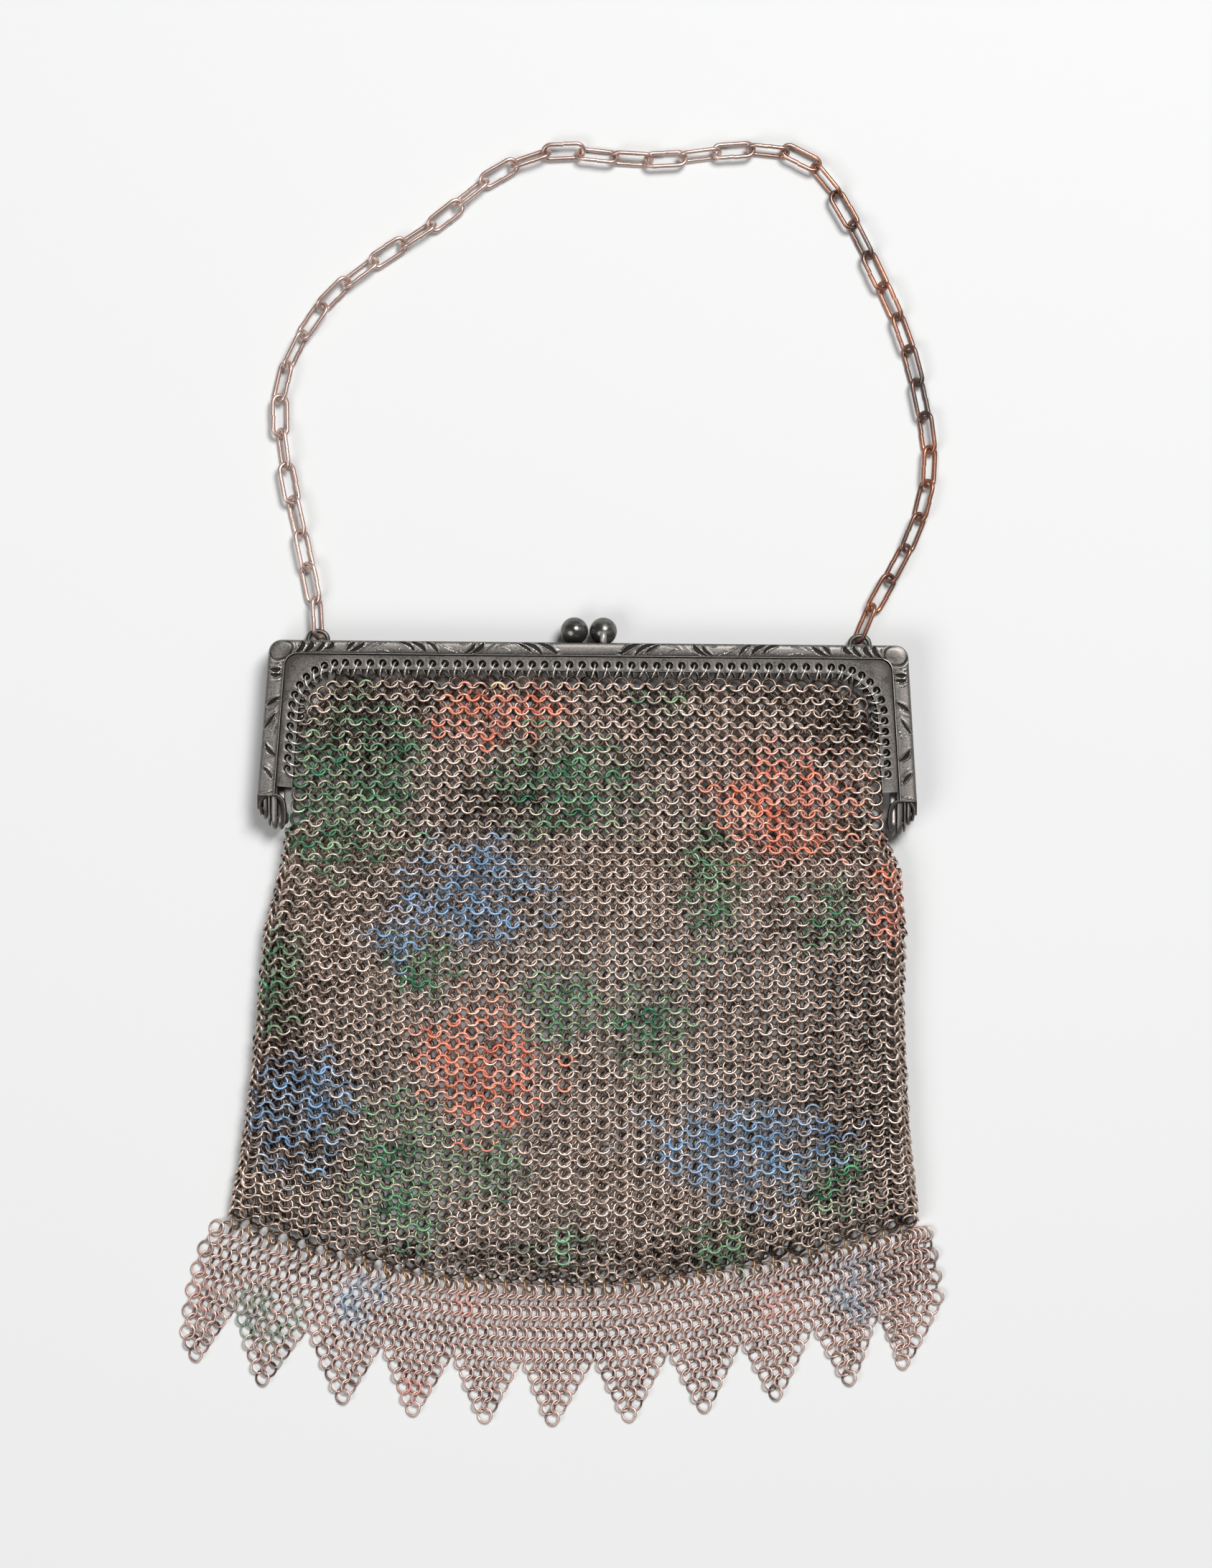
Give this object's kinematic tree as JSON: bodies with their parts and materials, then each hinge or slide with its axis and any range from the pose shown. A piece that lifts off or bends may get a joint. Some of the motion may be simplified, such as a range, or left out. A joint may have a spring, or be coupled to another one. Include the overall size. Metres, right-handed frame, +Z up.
{
  "type": "metal mesh purse",
  "caption": "Metal mesh purse lying flat: hinged engraved frame with a kiss clasp, ring-mesh bag with worn floral paint, pointed ring fringe and an oval-link carrying chain.",
  "frame": {"origin": "centre of the whole purse's footprint, on the surface that it lies on", "axes": "+X to the right seen from the front, +Y from the fringe towards the chain, +Z up out of the front of the purse"},
  "size_m": [0.1778, 0.2996, 0.011],
  "materials": {
    "frame_metal": "dark gunmetal plate over stamped sheet, satin, engraved leaves, brighter on worn edges",
    "ball_metal": "dark polished gunmetal with fine scratches on top",
    "ring_mesh": "fine round wire rings with worn enamel paint in faded coral, green and blue floral patches over pinkish beige metal",
    "fringe_rings": "browner worn wire rings with traces of the same paint",
    "chain_metal": "pinkish pewter-toned plated wire links, coppery and tarnished on one side"
  },
  "bodies": {
    "root": {"front_frame": "frame_metal", "back_frame": "frame_metal", "hinge_rivet_left": "frame_metal", "hinge_rivet_right": "frame_metal", "front_clasp_ball": "ball_metal", "back_clasp_ball": "ball_metal", "mesh_bag": "ring_mesh", "mesh_fringe": "fringe_rings", "chain_link_01": "chain_metal", "chain_link_02": "chain_metal", "chain_link_03": "chain_metal", "chain_link_04": "chain_metal", "chain_link_05": "chain_metal", "chain_link_06": "chain_metal", "chain_link_07": "chain_metal", "chain_link_08": "chain_metal", "chain_link_09": "chain_metal", "chain_link_10": "chain_metal", "chain_link_11": "chain_metal", "chain_link_12": "chain_metal", "chain_link_13": "chain_metal", "chain_link_14": "chain_metal", "chain_link_15": "chain_metal", "chain_link_16": "chain_metal", "chain_link_17": "chain_metal", "chain_link_18": "chain_metal", "chain_link_19": "chain_metal", "chain_link_20": "chain_metal", "chain_link_21": "chain_metal", "chain_link_22": "chain_metal", "chain_link_23": "chain_metal", "chain_link_24": "chain_metal", "chain_link_25": "chain_metal", "chain_link_26": "chain_metal", "chain_link_27": "chain_metal", "chain_link_28": "chain_metal", "chain_link_29": "chain_metal", "chain_link_30": "chain_metal", "chain_link_31": "chain_metal", "chain_link_32": "chain_metal", "chain_link_33": "chain_metal", "chain_link_34": "chain_metal", "chain_link_35": "chain_metal", "chain_link_36": "chain_metal", "chain_link_37": "chain_metal", "chain_link_38": "chain_metal", "chain_link_39": "chain_metal", "chain_link_40": "chain_metal", "chain_link_41": "chain_metal"}
  },
  "joints": []
}
